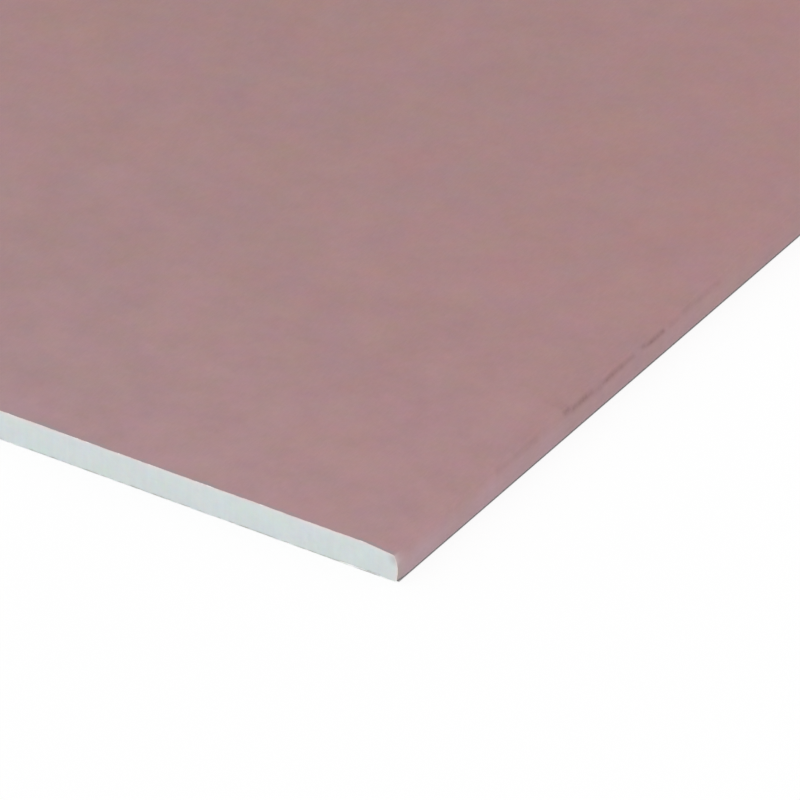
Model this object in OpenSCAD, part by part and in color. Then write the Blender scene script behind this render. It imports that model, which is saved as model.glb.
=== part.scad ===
// Paper-faced gypsum board: a cast gypsum core between two papers.
// The face paper wraps both long edges and is folded in under the back paper,
// and the two ends are cut square, so that the core shows there.
// X runs across the sheet, Y along it and Z up through it, with the back at Z = 0.

/* [Sheet] */
// Width of the sheet, across its two wrapped edges
sheet_width = 1200; // [600:1:1350]
// Length of the sheet, between its two cut ends
sheet_length = 2400; // [900:1:3600]
// Thickness through the middle of the sheet, with both papers
sheet_thickness = 12.5; // [10:0.5:25]

/* [Long edges] */
// How far in from the side the face begins to fall away
bevel_width = 12.5; // [6:0.5:60]
// How far the face has fallen where its slope would meet the side
bevel_depth = 1.3; // [0.4:0.1:2.5]
// Radius of the soft bend between the flat face and its slope
bevel_bend_radius = 25; // [10:1:80]
// Radius of the upper edge, outside the paper
arris_radius = 1.3; // [0.8:0.1:3]
// Radius of the bow in the upper part of the side
bow_radius = 17; // [10:0.5:22]
// Lean of the side where the bow meets the upper edge, in degrees
bow_lean = 23; // [10:1:32]
// Radius of the lower edge, outside the paper
foot_radius = 0.9; // [0.7:0.1:2]

/* [Papers] */
// Thickness of the face paper
face_paper_thickness = 0.35; // [0.2:0.05:0.6]
// Thickness of the back paper
back_paper_thickness = 0.35; // [0.2:0.05:0.6]
// How far the face paper is folded in under the back
fold_width = 25; // [15:1:40]
// Strip of folded face paper that the back paper leaves bare on each side
bare_strip = 8; // [3:1:14]

/* [Hidden] */

gypsum_white = [0.81, 0.85, 0.85];
paper_pink = [0.66, 0.53, 0.54];
paper_grey = [0.62, 0.57, 0.50];

// Straight steps in each arc of the section
arc_steps = 8;

side_x = sheet_width / 2;
fold_x = side_x - fold_width;
fold_top = back_paper_thickness + face_paper_thickness;
back_paper_x = side_x - bare_strip;

// The slope of the bevel, and how far from its corner the soft bend begins
bevel_angle = atan(bevel_depth / bevel_width);
bevel_bend_run = bevel_bend_radius * tan(bevel_angle / 2);

// Centres of the arcs round the right-hand edge, as [x, z].
// The upper edge touches the slope of the bevel above it and the bow of the side below it.
bend_centre = [side_x - bevel_width - bevel_bend_run, sheet_thickness - bevel_bend_radius];
bow_to_arris = (bow_radius - arris_radius) * [cos(bow_lean), sin(bow_lean)];
arris_x = side_x - bow_radius + bow_to_arris.x;
slope_above_arris = sheet_thickness - (arris_x - side_x + bevel_width) * tan(bevel_angle);
arris_centre = [arris_x, slope_above_arris - arris_radius / cos(bevel_angle)];
bow_centre = arris_centre - bow_to_arris;
foot_centre = [side_x - foot_radius, back_paper_thickness + foot_radius];

// Each arc as [centre, radius, first angle, last angle, first step].
// An angle is that of the outward normal, from straight up round to straight down.
// The bow begins where the upper edge ends, so its first point is left out.
edge_arcs = [
    [bend_centre, bevel_bend_radius, 0, bevel_angle, 0],
    [arris_centre, arris_radius, bevel_angle, 90 - bow_lean, 0],
    [bow_centre, bow_radius, 90 - bow_lean, 90, 1],
    [foot_centre, foot_radius, 90, 180, 0],
];

// Points down the right-hand edge, a given depth inside the paper's outer surface
function edge_points(depth) = [
    for (arc = edge_arcs)
        for (step = [arc[4] : arc_steps])
            let (angle = arc[2] + (arc[3] - arc[2]) * step / arc_steps)
                arc[0] + (arc[1] - depth) * [sin(angle), cos(angle)]
];

// The same points up the left-hand edge
function opposite(points) = [
    for (index = [len(points) - 1 : -1 : 0])
        [-points[index].x, points[index].y]
];

// Section of all that the face paper wraps, a given depth inside its outer surface
module wrapped_section(depth) {
    right = edge_points(depth);
    polygon(concat(right, opposite(right)));
}

// Section of the core, which comes down to the back paper between the two folds
module core_section() {
    right = concat(
        edge_points(face_paper_thickness),
        [[fold_x, fold_top], [fold_x, back_paper_thickness]]
    );
    polygon(concat(right, opposite(right)));
}

// The gap that the face paper leaves open on the back, between its two folds
module fold_gap() {
    translate([-fold_x, 0])
        square([2 * fold_x, sheet_thickness / 2]);
}

// Runs a section drawn across the sheet along its whole length
module along_sheet() {
    rotate([90, 0, 0])
        linear_extrude(height = sheet_length, center = true)
            children();
}

// Cast gypsum, which fills the face paper and shows at both cut ends
module gypsum_core() {
    color(gypsum_white)
        along_sheet()
            core_section();
}

// One sheet of paper over the face, round both long edges and in under the back
module face_paper() {
    color(paper_pink)
        along_sheet()
            difference() {
                wrapped_section(0);
                wrapped_section(face_paper_thickness);
                fold_gap();
            }
}

// The paper over the back, which covers the ends of both folds
module back_paper() {
    color(paper_grey)
        along_sheet()
            translate([-back_paper_x, 0])
                square([2 * back_paper_x, back_paper_thickness]);
}

gypsum_core();
face_paper();
back_paper();
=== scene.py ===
"""A paper-faced gypsum board that lies flat: its two papers, its cut core and a plain studio."""

import logging
import math
from collections.abc import Callable
from dataclasses import dataclass, field
from enum import Enum, IntEnum
from functools import cached_property

import bmesh
import bpy
import numpy as np
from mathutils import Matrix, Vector
from mathutils.geometry import delaunay_2d_cdt


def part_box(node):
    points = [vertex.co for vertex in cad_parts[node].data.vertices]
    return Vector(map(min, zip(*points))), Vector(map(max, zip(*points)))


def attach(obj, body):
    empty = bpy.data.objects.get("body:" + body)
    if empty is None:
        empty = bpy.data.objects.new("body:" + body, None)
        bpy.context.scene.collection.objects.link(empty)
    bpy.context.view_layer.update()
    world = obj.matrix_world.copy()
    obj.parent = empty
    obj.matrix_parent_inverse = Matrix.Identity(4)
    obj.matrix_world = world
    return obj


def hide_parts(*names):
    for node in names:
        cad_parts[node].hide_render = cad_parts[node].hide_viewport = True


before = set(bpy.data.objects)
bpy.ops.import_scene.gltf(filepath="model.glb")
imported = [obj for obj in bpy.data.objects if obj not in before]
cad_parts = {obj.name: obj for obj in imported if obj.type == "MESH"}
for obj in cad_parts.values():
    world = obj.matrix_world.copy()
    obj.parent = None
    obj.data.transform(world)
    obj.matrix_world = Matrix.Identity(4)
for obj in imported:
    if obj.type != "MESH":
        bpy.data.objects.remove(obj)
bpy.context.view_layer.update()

log = logging.getLogger("board")

MM = 0.001
# Distance of each row of points from a cut end: the first rows are fine, and each later one is coarser
END_ROWS = np.array([0.0, 0.5, 1.5, 4.0, 8.0, 16.0, 32.0]) * MM
FINE_END_ROWS = 3
# Spaces across a paper along its cut end, halved once for each coarser row
END_COLUMNS = 1152
# Space between points in the flat middle of a paper, and the distance below which two of them are one
FIELD_SPACING = 40 * MM
FIELD_TOLERANCE = 1e-8
# Points of an outline that lie closer than this are one point
SAME_POINT = 1e-9
# Edges that turn by more than this are drawn sharp
SHARP_TURN = math.radians(40)
# Constants of the curve between a colour on screen and the light that it stands for
SCREEN_FULL = 255
SCREEN_OFFSET = 0.055
SCREEN_POWER = 2.4
# The value that a cloudy pattern lies about
CLOUD_MIDDLE = 0.5
# How strongly paper and gypsum mirror, on the shader's own scale
DULL_SPECULAR = 0.2
# Distance between two nodes in a drawn tree
NODE_STEP = 200
# How far the seeds of a paper's two ends lie from the paper's own, to each side
END_SEED_STEP = 10

Triple = tuple[float, float, float]
Colour = tuple[float, float, float, float]
Socket = bpy.types.NodeSocket
Outputs = bpy.types.NodeOutputs
# A value, or the socket that feeds it
Feed = float | tuple[float, ...] | Socket
# What goes into a node, by the name or number of its socket
Inputs = dict[str | int, Feed]

WHITE: Colour = (1.0, 1.0, 1.0, 1.0)
# Mid grey: the painted shade of the floor under the sheet
MID_GREY: Colour = (0.5, 0.5, 0.5, 1.0)


class End(Enum):
    """A cut end of the sheet, by the sign of Y there."""

    FRONT = -1
    REAR = 1

    @property
    def row(self) -> int:
        """Number of its row of points, where rows run from the front end to the rear."""
        return 0 if self is End.FRONT else -1


class Side(Enum):
    """A long edge of the sheet, by the sign of X there."""

    LEFT = -1
    RIGHT = 1


class Slot(Enum):
    """The record's material slots."""

    GYPSUM = "gypsum"
    FACE_PAPER = "face_paper"
    BACK_PAPER = "back_paper"


class Ply(IntEnum):
    """The part of a paper that a face belongs to, as the number of its material."""

    OUTER = 0
    CUT = 1


class Seed(IntEnum):
    """Numbers that pick the random lines, so that they are the same at every run."""

    WEAR = 41
    STRAY = 43
    LINER_SIDE = 60
    RIM = 71
    FACE_OUTSIDE = 100
    FACE_INSIDE = 200
    STREAK = 300
    BROAD_STREAK = 307
    LINER_UNDERSIDE = 400
    LINER_UPPER_SIDE = 500


class SocketKind(Enum):
    """Blender's names for the sockets of a node group."""

    VALUE = "NodeSocketFloat"
    VECTOR = "NodeSocketVector"
    COLOUR = "NodeSocketColor"


def paint(red: float, green: float, blue: float) -> Colour:
    """Turns a colour as it is seen on screen, from 0 to 255, into the linear one that a shader takes."""
    shares = [(level / SCREEN_FULL + SCREEN_OFFSET) / (1 + SCREEN_OFFSET) for level in (red, green, blue)]
    return (*(share**SCREEN_POWER for share in shares), 1.0)


def ease(share: np.ndarray) -> np.ndarray:
    """Eases a share from 0 to 1 in and out, and holds it outside that range."""
    held = np.clip(share, 0.0, 1.0)
    return held * held * (3 - 2 * held)


class Wander:
    """A smooth random line, the same at every run."""

    def __init__(self, seed: int, spacing: float, reach: float) -> None:
        """Draws the line's knots.

        Args:
            seed: Number that picks the line.
            spacing: Distance between two knots, in metres.
            reach: How far the line runs to each side of zero, in metres.
        """
        self.spacing = spacing
        self.start = -reach - spacing
        count = int(math.ceil(2 * (reach + spacing) / spacing)) + 2
        self.heights = np.random.default_rng(seed).uniform(-1, 1, count)

    def __call__(self, along: np.ndarray) -> np.ndarray:
        """Gives the line's height at each place along it.

        Args:
            along: Places along the line, in metres.

        Returns:
            Heights from -1 to 1.
        """
        place = (np.asarray(along) - self.start) / self.spacing
        knot = np.clip(np.floor(place).astype(int), 0, len(self.heights) - 2)
        share = ease(place - knot)
        return self.heights[knot] * (1 - share) + self.heights[knot + 1] * share


class MeshSketch:
    """Gathers the points and faces of one piece."""

    def __init__(self) -> None:
        """Starts with no points and no faces."""
        self.points = np.zeros((0, 3))
        self.faces: list[tuple[int, ...]] = []
        self.finishes: list[int] = []

    def add(self, points: np.ndarray) -> np.ndarray:
        """Adds points.

        Args:
            points: Places in metres, in a grid of any shape whose last axis is X, Y, Z.

        Returns:
            The points' numbers, in the shape of the grid.
        """
        flat = points.reshape(-1, 3)
        first = len(self.points)
        self.points = np.concatenate([self.points, flat])
        return np.arange(first, first + len(flat)).reshape(points.shape[:-1])

    def _face(self, corners: np.ndarray, ply: Ply = Ply.OUTER) -> None:
        """Adds faces, one for each row of corners."""
        self.faces.extend(map(tuple, corners.tolist()))
        self.finishes.extend([ply.value] * len(corners))

    def grid(self, ids: np.ndarray, ply: Ply = Ply.OUTER) -> None:
        """Covers points, given by number in rows and columns, with four-sided faces."""
        corners = np.stack([ids[:-1, :-1], ids[:-1, 1:], ids[1:, 1:], ids[1:, :-1]], axis=-1)
        self._face(corners.reshape(-1, 4), ply)

    def halve(self, fine: np.ndarray, coarse: np.ndarray) -> None:
        """Joins a row of points to one with half as many spaces.

        Args:
            fine: The points' numbers along the finer row.
            coarse: The points' numbers along the coarser row.
        """
        left, middle, right = fine[:-2:2], fine[1:-1:2], fine[2::2]
        first, second = coarse[:-1], coarse[1:]
        for corners in ((left, middle, first), (middle, second, first), (middle, right, second)):
            self._face(np.stack(corners, axis=-1))

    def fill(self, outline: np.ndarray, spacing: float) -> None:
        """Fills a level outline with triangles.

        Args:
            outline: Numbers of the points round it, in order.
            spacing: Distance between the points that are added inside it, in metres.
        """
        border = self.points[outline]
        low = border.min(axis=0) + spacing / 2
        high = border.max(axis=0) - spacing / 2
        across, along = np.meshgrid(*(np.arange(low[axis], high[axis], spacing) for axis in (0, 1)))
        inside = self.add(np.stack([across, along, np.full(across.shape, border[0, 2])], axis=-1))
        ids = np.concatenate([outline, inside.ravel()])
        flat = [Vector(point[:2]) for point in self.points[ids]]
        ring = list(range(len(outline)))
        inside_outline = 1
        _, _, triangles, sources, _, _ = delaunay_2d_cdt(flat, [], [ring], inside_outline, FIELD_TOLERANCE)
        corners = [[ids[sources[corner][0]] for corner in triangle] for triangle in triangles]
        self._face(np.array(corners))

    def piece(self, name: str, finishes: list["Finish"], closed: bool = True) -> bpy.types.Object:
        """Makes the piece, with its faces turned outwards if it is closed.

        Args:
            name: Name of the piece.
            finishes: Its finishes, in the order of their numbers.
            closed: Whether it has an inside.

        Returns:
            The new object, placed in the scene.
        """
        mesh = bpy.data.meshes.new(name)
        mesh.from_pydata(self.points.tolist(), [], self.faces)
        for finish in finishes:
            mesh.materials.append(finish.material())
        mesh.polygons.foreach_set("material_index", self.finishes)
        if closed:
            edit = bmesh.new()
            edit.from_mesh(mesh)
            bmesh.ops.recalc_face_normals(edit, faces=edit.faces)
            edit.to_mesh(mesh)
            edit.free()
        mesh.shade_smooth()
        mesh.set_sharp_from_angle(angle=SHARP_TURN)
        made = bpy.data.objects.new(name, mesh)
        bpy.context.scene.collection.objects.link(made)
        return made


def mark(piece: bpy.types.Object, name: str, share_at: Callable[[np.ndarray], np.ndarray]) -> None:
    """Writes a share on each point of a piece, for its material to read.

    Args:
        piece: The piece.
        name: Name that the material reads the share by.
        share_at: Gives the share at each place, from rows of X, Y and Z.
    """
    mesh = piece.data
    places = np.zeros(len(mesh.vertices) * 3)
    mesh.vertices.foreach_get("co", places)
    share = share_at(places.reshape(-1, 3)).astype(np.float32)
    mesh.attributes.new(name, "FLOAT", "POINT").data.foreach_set("value", share)


@dataclass(frozen=True)
class Pattern:
    """A cloudy pattern: clouds to the metre, how many finer layers lie over them, and their strength."""

    scale: Feed
    detail: float = 2.0
    roughness: float = 0.6


@dataclass(frozen=True)
class Ramp:
    """A range that a value passes through, and what it becomes at the range's two ends."""

    low: Feed
    high: Feed
    start: float = 0.0
    end: float = 1.0


@dataclass(frozen=True)
class Patches:
    """Patches that a cloudy pattern makes when it is eased along a ramp."""

    pattern: Pattern
    ramp: Ramp


class NodeSketch:
    """Adds nodes to one tree, each set and linked as it is added."""

    def __init__(self, tree: bpy.types.NodeTree) -> None:
        """Takes over a tree and empties it."""
        self.tree = tree
        tree.nodes.clear()

    def add(self, kind: str, inputs: Inputs | None = None, **settings: object) -> bpy.types.Node:
        """Adds a node.

        Args:
            kind: Blender's name for the kind of node.
            inputs: What goes into its sockets.
            settings: The node's own settings.

        Returns:
            The new node.
        """
        node = self.tree.nodes.new(kind)
        node.location = (NODE_STEP * (len(self.tree.nodes) - 1), 0)
        for name, value in settings.items():
            setattr(node, name, value)
        for name, value in (inputs or {}).items():
            if isinstance(value, Socket):
                self.tree.links.new(value, node.inputs[name])
            else:
                node.inputs[name].default_value = value
        return node

    def place(self) -> Socket:
        """Adds the place of each point, in the sheet's own frame."""
        return self.add("ShaderNodeTexCoord").outputs["Object"]

    def axes(self, place: Feed) -> Outputs:
        """Divides a place into its X, Y and Z."""
        return self.add("ShaderNodeSeparateXYZ", {0: place}).outputs

    def marked(self, name: str) -> Socket:
        """Adds a share that is written on the mesh."""
        return self.add("ShaderNodeAttribute", attribute_name=name).outputs["Fac"]

    def math(self, operation: str, first: Feed, second: Feed = 0.0, clamp: bool = False) -> Socket:
        """Adds a sum of two values, by Blender's name for it, held between 0 and 1 if it is clamped."""
        inputs = {0: first, 1: second}
        return self.add("ShaderNodeMath", inputs, operation=operation, use_clamp=clamp).outputs[0]

    def times(self, first: Feed, second: Feed, clamp: bool = False) -> Socket:
        """Multiplies two values."""
        return self.math("MULTIPLY", first, second, clamp)

    def plus(self, first: Feed, second: Feed) -> Socket:
        """Adds two values up."""
        return self.math("ADD", first, second)

    def vector(self, operation: str, first: Feed, second: Feed) -> Socket:
        """Adds a sum of two vectors or colours, by Blender's name for it."""
        return self.add("ShaderNodeVectorMath", {0: first, 1: second}, operation=operation).outputs[0]

    def span(self, value: Feed, ramp: Ramp) -> Socket:
        """Eases a value along a ramp."""
        taken = {"Value": value, "From Min": ramp.low, "From Max": ramp.high}
        inputs = taken | {"To Min": ramp.start, "To Max": ramp.end}
        return self.add("ShaderNodeMapRange", inputs, interpolation_type="SMOOTHSTEP").outputs[0]

    def noise(self, place: Feed, pattern: Pattern) -> Outputs:
        """Adds a cloudy pattern, as values and as colours.

        Args:
            place: Socket of the place.
            pattern: The pattern.

        Returns:
            The values, which come first, and the colours.
        """
        inputs = {"Vector": place, "Scale": pattern.scale}
        layers = {"Detail": pattern.detail, "Roughness": pattern.roughness}
        return self.add("ShaderNodeTexNoise", inputs | layers).outputs

    def patches(self, place: Feed, patches: Patches) -> Socket:
        """Adds patches."""
        return self.span(self.noise(place, patches.pattern)[0], patches.ramp)

    def blend(self, share: Feed, first: Feed, second: Feed, way: str = "MIX") -> Socket:
        """Blends two colours by the share of the second."""
        # The node has like-named sockets for values and vectors, so those for colours go by number
        inputs = {0: share, 6: first, 7: second}
        return self.add("ShaderNodeMix", inputs, data_type="RGBA", blend_type=way).outputs[2]

    def tint(self, colour: Feed, tone: Feed) -> Socket:
        """Multiplies a colour by a tone or by another colour."""
        return self.blend(1.0, colour, tone, "MULTIPLY")

    def mix(self, share: Feed, first: Socket, second: Socket) -> Socket:
        """Mixes two shaders by the share of the second."""
        return self.add("ShaderNodeMixShader", {0: share, 1: first, 2: second}).outputs[0]

    def seen_ray(self) -> Socket:
        """Tells rays that show a surface from those that only light others.

        Returns:
            Socket of 1 for a ray from the camera, a reflection or clear glass, and else 0.
        """
        ray = self.add("ShaderNodeLightPath").outputs
        mirrored = self.math("MAXIMUM", ray["Is Glossy Ray"], ray["Is Transmission Ray"])
        return self.math("MAXIMUM", ray["Is Camera Ray"], mirrored)

    def dull_surface(self, colour: Feed, roughness: Feed, height: Feed, depth: float) -> None:
        """Ends a dull material: colour, roughness and fine relief.

        Args:
            colour: Socket of the colour.
            roughness: Socket of the roughness.
            height: Socket of the relief's height.
            depth: Depth of the relief, in metres.
        """
        relief = self.add("ShaderNodeBump", {"Strength": 1.0, "Distance": depth, "Height": height}).outputs[0]
        inputs = {"Base Color": colour, "Roughness": roughness, "Normal": relief}
        shader = self.add("ShaderNodeBsdfPrincipled", inputs | {"Specular IOR Level": DULL_SPECULAR})
        self.add("ShaderNodeOutputMaterial", {"Surface": shader.outputs[0]})


class SurfaceGroup:
    """A node group that several materials share, built once and placed in each with its own values.

    Each group takes a place, and the inputs that it names besides.
    """

    name: str
    inputs: dict[str, SocketKind]
    outputs: dict[str, SocketKind]

    @cached_property
    def tree(self) -> bpy.types.NodeTree:
        """The group's own tree, with its sockets."""
        tree = bpy.data.node_groups.new(self.name, "ShaderNodeTree")
        inputs = {"Place": SocketKind.VECTOR} | self.inputs
        for way, sockets in (("INPUT", inputs), ("OUTPUT", self.outputs)):
            for name, kind in sockets.items():
                tree.interface.new_socket(name=name, in_out=way, socket_type=kind.value)
        sketch = NodeSketch(tree)
        given = sketch.add("NodeGroupInput").outputs
        sketch.add("NodeGroupOutput", self.draw(sketch, given))
        return tree

    def draw(self, sketch: NodeSketch, given: Outputs) -> dict[str, Socket]:
        """Draws the group's nodes from its inputs, and gives the sockets that feed its outputs by name."""
        raise NotImplementedError

    def put(self, sketch: NodeSketch, place: Feed, **values: Feed) -> Outputs:
        """Puts the group in a material at a place, with its other inputs named in small letters."""
        inputs = {name.replace("_", " ").title(): value for name, value in values.items()}
        return sketch.add("ShaderNodeGroup", {"Place": place} | inputs, node_tree=self.tree).outputs


class PaperFibre(SurfaceGroup):
    """Fibres that lie mostly along the sheet, the way the paper was made."""

    name = "Paper fibre"
    inputs = {"Scale": SocketKind.VALUE, "Stretch": SocketKind.VALUE}
    outputs = {"Tone": SocketKind.VALUE, "Height": SocketKind.VALUE}
    long_share = 0.65
    felt_detail = 1.0
    felt_roughness = 0.5

    def draw(self, sketch: NodeSketch, given: Outputs) -> dict[str, Socket]:
        """Draws long fibres, and a fine felt of short ones between them.

        Args:
            sketch: The group's tree.
            given: The group's inputs.

        Returns:
            The sockets that feed the tone and the height.
        """
        squeeze = sketch.math("DIVIDE", 1.0, given["Stretch"])
        shrink = sketch.add("ShaderNodeCombineXYZ", {0: 1.0, 1: squeeze, 2: 1.0}).outputs[0]
        drawn_out = sketch.vector("MULTIPLY", given["Place"], shrink)
        long_fibres = sketch.noise(drawn_out, Pattern(given["Scale"]))[0]
        short = Pattern(given["Scale"], self.felt_detail, self.felt_roughness)
        felt = sketch.times(sketch.noise(given["Place"], short)[0], 1 - self.long_share)
        both = sketch.plus(sketch.times(long_fibres, self.long_share), felt)
        return {"Tone": both, "Height": long_fibres}


class Mottle(SurfaceGroup):
    """Clouds of hue and tone, as large as a thumb and as small as a grain."""

    name = "Mottle"
    inputs = {"Scale": SocketKind.VALUE, "Base": SocketKind.COLOUR, "Swing": SocketKind.VECTOR}
    outputs = {"Colour": SocketKind.COLOUR}
    detail = 5.0
    roughness = 0.85

    def draw(self, sketch: NodeSketch, given: Outputs) -> dict[str, Socket]:
        """Draws clouds that swing red, green and blue apart, with much the same strength at every size.

        Args:
            sketch: The group's tree.
            given: The group's inputs.

        Returns:
            The socket that feeds the colour.
        """
        pattern = Pattern(given["Scale"], self.detail, self.roughness)
        clouds = sketch.noise(given["Place"], pattern)["Color"]
        about_zero = sketch.vector("SUBTRACT", clouds, (CLOUD_MIDDLE,) * 3)
        tint = sketch.vector("ADD", sketch.vector("MULTIPLY", about_zero, given["Swing"]), (1.0,) * 3)
        return {"Colour": sketch.vector("MULTIPLY", given["Base"], tint)}


class CutDustAndLight(SurfaceGroup):
    """A pale wash that thins out from the cut ends, dust on the back paper and partly painted light on the
    face paper, and the greyed lip of paper along each cut.
    """

    name = "Cut dust"
    inputs = dict.fromkeys(("Half Length", "Reach", "Amount", "Lip"), SocketKind.VALUE)
    outputs = dict.fromkeys(("DustAndLight", "Lip", "Near"), SocketKind.VALUE)
    dust_and_light_patches = Patches(Pattern(45.0, 3.0), Ramp(0.2, 0.8, 0.6, 1.4))
    lip_width = Patches(Pattern(500.0, 3.0, 0.7), Ramp(0.25, 0.75, 0.4, 1.6))
    lip_strength = Patches(Pattern(110.0), Ramp(0.38, 0.62, 0.3, 1.0))
    # Where the lip begins to fade and where it has gone, as shares of its width
    lip_fade = (0.4, 1.5)
    near_reach = 6 * MM

    def draw(self, sketch: NodeSketch, given: Outputs) -> dict[str, Socket]:
        """Draws a pale wash of dust and painted light that thins out from the nearer end, and a lip of uneven
        width at it.

        Args:
            sketch: The group's tree.
            given: The group's inputs.

        Returns:
            The sockets that feed the pale wash of dust and painted light, the lip and the share of nearness
            to the cut.
        """
        place = given["Place"]
        from_middle = sketch.math("ABSOLUTE", sketch.axes(place)["Y"])
        inward = sketch.math("MAXIMUM", sketch.math("SUBTRACT", given["Half Length"], from_middle), 0.0)
        fade = sketch.math("EXPONENT", sketch.math("DIVIDE", inward, sketch.times(given["Reach"], -1.0)))
        patchy = sketch.times(fade, sketch.patches(place, self.dust_and_light_patches))
        dust_and_light = sketch.times(patchy, given["Amount"], clamp=True)
        width = sketch.times(given["Lip"], sketch.patches(place, self.lip_width))
        first, last = [sketch.times(width, share) for share in self.lip_fade]
        lip = sketch.span(inward, Ramp(first, last, 1.0, 0.0))
        lip = sketch.times(lip, sketch.patches(place, self.lip_strength))
        near = sketch.math("EXPONENT", sketch.times(inward, -1 / self.near_reach))
        return {"DustAndLight": dust_and_light, "Lip": lip, "Near": near}


class PaperDrift(SurfaceGroup):
    """Faint long bands along the sheet, the way the paper ran, and broad soft clouds."""

    name = "Paper drift"
    inputs = {"Depth": SocketKind.VALUE}
    outputs = {"Tone": SocketKind.VALUE}
    lengthways = (1.0, 0.03, 1.0)
    bands = Pattern(28.0, 3.0, 0.7)
    clouds = Pattern(5.0, 3.0)
    # Brings the swing of both patterns together to about 1
    gain = 4.0

    def draw(self, sketch: NodeSketch, given: Outputs) -> dict[str, Socket]:
        """Draws the bands and the clouds as a tone about 1.

        Args:
            sketch: The group's tree.
            given: The group's inputs.

        Returns:
            The socket that feeds the tone.
        """
        drawn_out = sketch.vector("MULTIPLY", given["Place"], self.lengthways)
        bands = sketch.noise(drawn_out, self.bands)[0]
        both = sketch.plus(bands, sketch.noise(given["Place"], self.clouds)[0])
        swing = sketch.times(sketch.math("SUBTRACT", both, 2 * CLOUD_MIDDLE), self.gain)
        return {"Tone": sketch.plus(1.0, sketch.times(swing, given["Depth"]))}


FIBRE = PaperFibre()
MOTTLE = Mottle()
DUST_AND_LIGHT = CutDustAndLight()
DRIFT = PaperDrift()


class Finish:
    """A finish, drawn as the nodes of one material."""

    name: str

    def material(self) -> bpy.types.Material:
        """Makes the material.

        Returns:
            The new material.
        """
        material = bpy.data.materials.new(self.name)
        material.use_nodes = True
        self.draw(NodeSketch(material.node_tree))
        return material

    def draw(self, sketch: NodeSketch) -> None:
        """Draws the material's nodes."""
        raise NotImplementedError


@dataclass(frozen=True, kw_only=True)
class PaperFinish(Finish):
    """Paper with faint clouds of hue and fine fibres, both counted to the metre."""

    name: str
    half_length: float
    base: Colour
    swing: Triple
    clouds: float
    fibres: float
    fibre_stretch: float
    fibre_tone: Ramp
    drift: float
    roughness: Ramp
    relief: float

    def paper(self, sketch: NodeSketch, place: Socket) -> tuple[Socket, Outputs]:
        """Draws the clean paper.

        Args:
            sketch: The material's tree.
            place: Socket of the place.

        Returns:
            Socket of the colour, and the outputs of the fibre.
        """
        clouds = MOTTLE.put(sketch, place, scale=self.clouds, base=self.base, swing=self.swing)
        fibre = FIBRE.put(sketch, place, scale=self.fibres, stretch=self.fibre_stretch)
        drift = DRIFT.put(sketch, place, depth=self.drift)
        tone = sketch.times(sketch.span(fibre["Tone"], self.fibre_tone), drift["Tone"])
        return sketch.tint(clouds["Colour"], tone), fibre

    def close(self, sketch: NodeSketch, colour: Socket, fibre: Outputs) -> None:
        """Ends the material with the fibre's own roughness and relief."""
        roughness = sketch.span(fibre["Tone"], self.roughness)
        sketch.dull_surface(colour, roughness, fibre["Height"], self.relief)


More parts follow.
